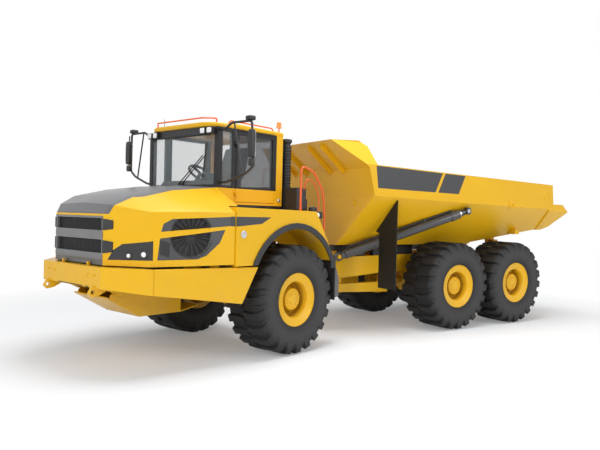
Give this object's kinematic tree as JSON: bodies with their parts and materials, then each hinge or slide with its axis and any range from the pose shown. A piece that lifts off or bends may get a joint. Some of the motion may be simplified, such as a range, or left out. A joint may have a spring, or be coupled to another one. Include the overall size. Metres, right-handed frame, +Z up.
{
  "type": "articulated dump truck",
  "caption": "Six-wheeled articulated hauler with a hinged front unit, cab, tilting hood and a tipping dump body on hoist cylinders.",
  "frame": {"origin": "on the ground under the middle of the truck's footprint, with the front unit turned 15 degrees to the left", "axes": "+X forward along the rear unit, +Y to the driver's left, +Z up"},
  "size_m": [10.3854, 3.551, 3.4996],
  "materials": {
    "yellow_paint": "glossy yellow paint",
    "rim_yellow": "satin yellow paint",
    "tyre": "matt tyre rubber",
    "rubber": "matt rubber",
    "glass": "clear glass",
    "black_plastic": "matt black plastic",
    "grey_plastic": "dark grey plastic",
    "lamp_lens": "smoked lens",
    "orange_rail": "orange paint",
    "amber": "amber lens",
    "seat_fabric": "dark cloth",
    "dark_metal": "dark grey paint",
    "chrome": "bright chrome"
  },
  "bodies": {
    "rear_frame": {"rear_frame": "yellow_paint", "bogie_beams": "yellow_paint", "axle_middle": "yellow_paint", "axle_rear": "yellow_paint", "propeller_shaft": "dark_metal", "tail_lamps": "yellow_paint"},
    "hitch": {"hitch": "yellow_paint"},
    "dump_body": {"dump_body": "yellow_paint", "mud_flaps": "rubber"},
    "cab_door": {"cab_door": "yellow_paint", "door_glass": "glass"},
    "hood": {"hood": "yellow_paint", "grille": "grey_plastic", "side_vents": "grey_plastic", "headlamps": "lamp_lens"},
    "hoist_barrel_left": {"hoist_barrel_left": "dark_metal"},
    "hoist_rod_left": {"hoist_rod_left": "chrome"},
    "steering_barrel_left": {"steering_barrel_left": "dark_metal"},
    "steering_rod_left": {"steering_rod_left": "chrome"},
    "wheel_front_left": {"tyre_front_left": "tyre", "rim_front_left": "rim_yellow"},
    "wheel_middle_left": {"tyre_middle_left": "tyre", "rim_middle_left": "rim_yellow"},
    "wheel_rear_left": {"tyre_rear_left": "tyre", "rim_rear_left": "rim_yellow"},
    "hoist_barrel_right": {"hoist_barrel_right": "dark_metal"},
    "hoist_rod_right": {"hoist_rod_right": "chrome"},
    "steering_barrel_right": {"steering_barrel_right": "dark_metal"},
    "steering_rod_right": {"steering_rod_right": "chrome"},
    "wheel_front_right": {"tyre_front_right": "tyre", "rim_front_right": "rim_yellow"},
    "wheel_middle_right": {"tyre_middle_right": "tyre", "rim_middle_right": "rim_yellow"},
    "wheel_rear_right": {"tyre_rear_right": "tyre", "rim_rear_right": "rim_yellow"},
    "front_unit": {"axle_front": "yellow_paint", "beacon": "amber", "belly_plate": "yellow_paint", "bumper": "yellow_paint", "cab_glass": "glass", "cab_mounts": "yellow_paint", "cab_roof": "yellow_paint", "cab_shell": "yellow_paint", "dashboard": "black_plastic", "engine_block": "dark_metal", "fender_left": "yellow_paint", "fender_lips": "rubber", "fender_right": "yellow_paint", "front_frame": "yellow_paint", "gearbox_block": "dark_metal", "handrails": "orange_rail", "mirrors": "black_plastic", "rear_deck": "black_plastic", "roof_lamps": "black_plastic", "roof_rail": "orange_rail", "seat": "seat_fabric", "skirts": "yellow_paint", "steps": "yellow_paint"}
  },
  "joints": [
    {"name": "hitch_roll", "type": "hinge", "parent": "rear_frame", "child": "hitch", "pos_m": [0.65, -0.318, 0.9], "axis": [1, 0, 0], "range_deg": [-10, 10]},
    {"name": "steer", "type": "hinge", "parent": "hitch", "child": "front_unit", "pos_m": [1.13, -0.318, 0.9], "axis": [0, 0, 1], "range_deg": [-60, 30]},
    {"name": "tip", "type": "hinge", "parent": "rear_frame", "child": "dump_body", "pos_m": [-4.045, -0.318, 1.55], "axis": [0, -1, 0], "range_deg": [0, 70]},
    {"name": "hood_lid", "type": "hinge", "parent": "front_unit", "child": "hood", "pos_m": [4.89904, 0.69191, 1.388], "axis": [-0.2588, 0.9659, 0], "range_deg": [0, 75]},
    {"name": "door", "type": "hinge", "parent": "front_unit", "child": "cab_door", "pos_m": [2.75013, 0.96504, 2.8], "axis": [0, 0, 1], "range_deg": [-80, 0]},
    {"name": "wheel_front_left", "type": "hinge", "parent": "front_unit", "child": "wheel_front_left", "pos_m": [2.012, 1.06542, 0.805], "axis": [-0.2588, 0.9659, 0], "continuous": true},
    {"name": "wheel_middle_left", "type": "hinge", "parent": "rear_frame", "child": "wheel_middle_left", "pos_m": [-1.835, 0.79, 0.805], "axis": [0, 1, 0], "continuous": true},
    {"name": "wheel_rear_left", "type": "hinge", "parent": "rear_frame", "child": "wheel_rear_left", "pos_m": [-3.505, 0.79, 0.805], "axis": [0, 1, 0], "continuous": true},
    {"name": "hoist_swing_left", "type": "hinge", "parent": "rear_frame", "child": "hoist_barrel_left", "pos_m": [0.385, 0.342, 1.335], "axis": [0.4249, 0.7098, 0.5618], "range_deg": [0, 11.35]},
    {"name": "hoist_stroke_left", "type": "slide", "parent": "hoist_barrel_left", "child": "hoist_rod_left", "axis": [-0.9026, 0.2853, 0.3223], "range_m": [0, 2.3137]},
    {"name": "steering_swing_left", "type": "hinge", "parent": "front_unit", "child": "steering_barrel_left", "pos_m": [1.97188, 0.24922, 0.9], "axis": [0, 0, 1], "range_deg": [-2.26, 1.18]},
    {"name": "steering_stroke_left", "type": "slide", "parent": "steering_barrel_left", "child": "steering_rod_left", "axis": [-0.9531, -0.3025, 0], "range_m": [-0.1429, 0.2848]},
    {"name": "wheel_front_right", "type": "hinge", "parent": "front_unit", "child": "wheel_front_right", "pos_m": [2.58554, -1.07508, 0.805], "axis": [-0.2588, 0.9659, 0], "continuous": true},
    {"name": "wheel_middle_right", "type": "hinge", "parent": "rear_frame", "child": "wheel_middle_right", "pos_m": [-1.835, -1.426, 0.805], "axis": [0, 1, 0], "continuous": true},
    {"name": "wheel_rear_right", "type": "hinge", "parent": "rear_frame", "child": "wheel_rear_right", "pos_m": [-3.505, -1.426, 0.805], "axis": [0, 1, 0], "continuous": true},
    {"name": "hoist_swing_right", "type": "hinge", "parent": "rear_frame", "child": "hoist_barrel_right", "pos_m": [0.385, -0.978, 1.335], "axis": [-0.4249, 0.7098, -0.5618], "range_deg": [0, 11.35]},
    {"name": "hoist_stroke_right", "type": "slide", "parent": "hoist_barrel_right", "child": "hoist_rod_right", "axis": [-0.9026, -0.2853, 0.3223], "range_m": [0, 2.3137]},
    {"name": "steering_swing_right", "type": "hinge", "parent": "front_unit", "child": "steering_barrel_right", "pos_m": [2.1427, -0.38829, 0.9], "axis": [0, 0, 1], "range_deg": [-2.26, 1.18]},
    {"name": "steering_stroke_right", "type": "slide", "parent": "steering_barrel_right", "child": "steering_rod_right", "axis": [-0.9752, -0.2212, 0], "range_m": [-0.2921, 0.1466]}
  ],
  "couplings": [
    {"joint": "hoist_swing_left", "follows": "tip", "ratio": 0.16193},
    {"joint": "hoist_stroke_left", "follows": "tip", "m_per_rad": 1.893},
    {"joint": "steering_swing_left", "follows": "steer", "ratio": 0.036},
    {"joint": "steering_stroke_left", "follows": "steer", "m_per_rad": -0.271},
    {"joint": "hoist_swing_right", "follows": "tip", "ratio": 0.16193},
    {"joint": "hoist_stroke_right", "follows": "tip", "m_per_rad": 1.893},
    {"joint": "steering_swing_right", "follows": "steer", "ratio": 0.036},
    {"joint": "steering_stroke_right", "follows": "steer", "m_per_rad": 0.278}
  ]
}
